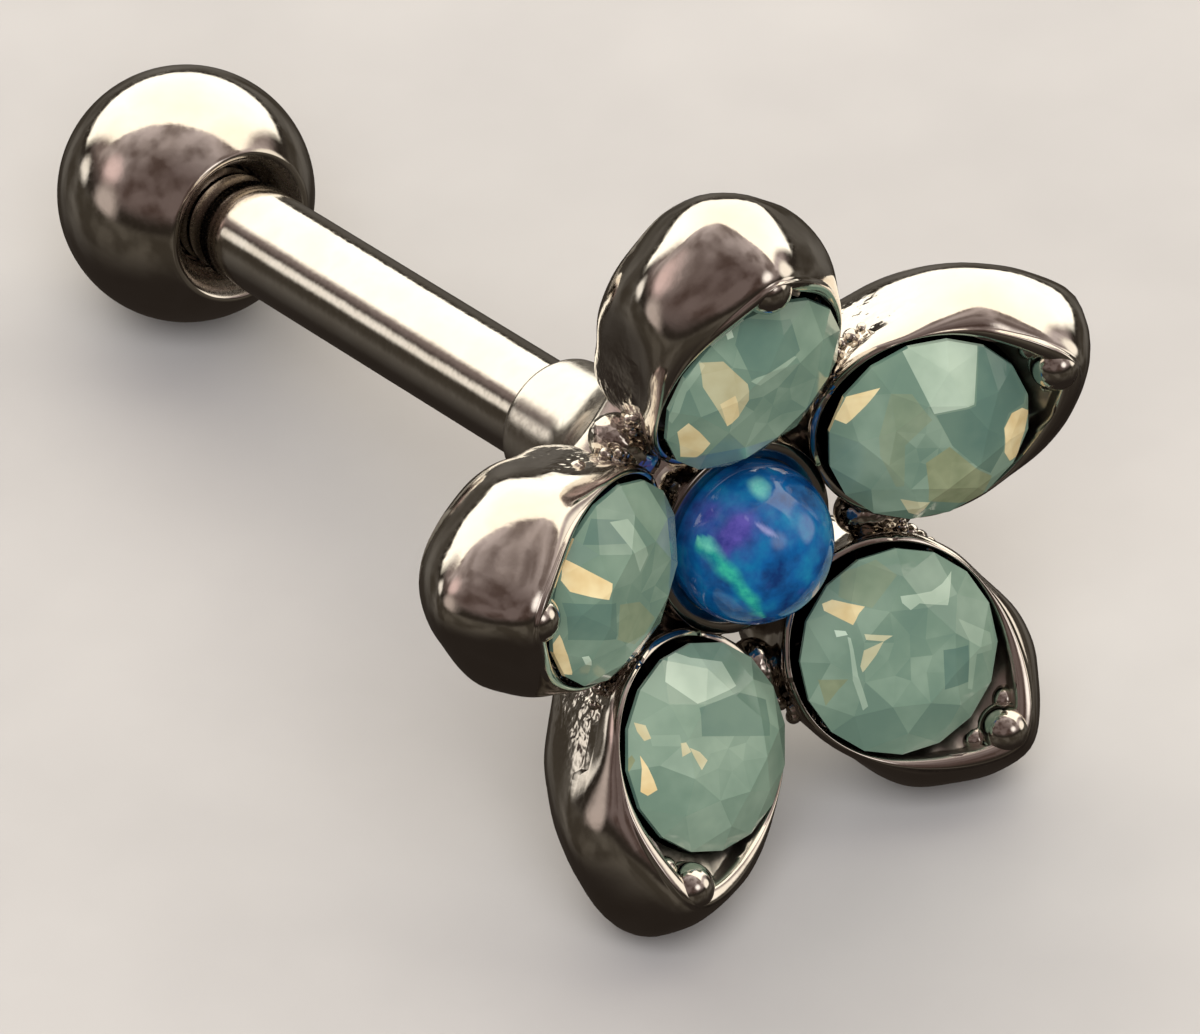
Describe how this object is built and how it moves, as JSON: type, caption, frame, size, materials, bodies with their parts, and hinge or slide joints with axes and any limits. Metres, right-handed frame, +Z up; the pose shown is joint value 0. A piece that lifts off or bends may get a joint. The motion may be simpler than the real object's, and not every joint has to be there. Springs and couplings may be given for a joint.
{
  "type": "cartilage barbell",
  "caption": "Ear cartilage barbell that lies on its side: a straight post with a ball that screws off one end and a cast flower of faceted stones round an opal on the other.",
  "frame": {"origin": "centre of the bounding box's foot, on the surface that the piece lies on", "axes": "+Y from the flower to the ball along the surface, +Z up, and X across, about which the flower's halves mirror each other"},
  "size_m": [0.0086, 0.0148, 0.0081],
  "materials": {
    "polished_steel": "mirror polish with a few casting pits near the joint",
    "green_crystal": "milky opalescent glass with polished facets",
    "blue_opal": "polished opal with a green flash"
  },
  "bodies": {
    "barbell": {"flower_post": "polished_steel", "petal_stone_1": "green_crystal", "petal_stone_2": "green_crystal", "petal_stone_3": "green_crystal", "petal_stone_4": "green_crystal", "petal_stone_5": "green_crystal", "centre_opal": "blue_opal"},
    "ball": {"screw_ball": "polished_steel"}
  },
  "joints": [
    {"name": "ball_unscrew", "type": "slide", "parent": "barbell", "child": "ball", "axis": [0, 0.9823, -0.1871], "range_m": [0, 0.008]}
  ]
}
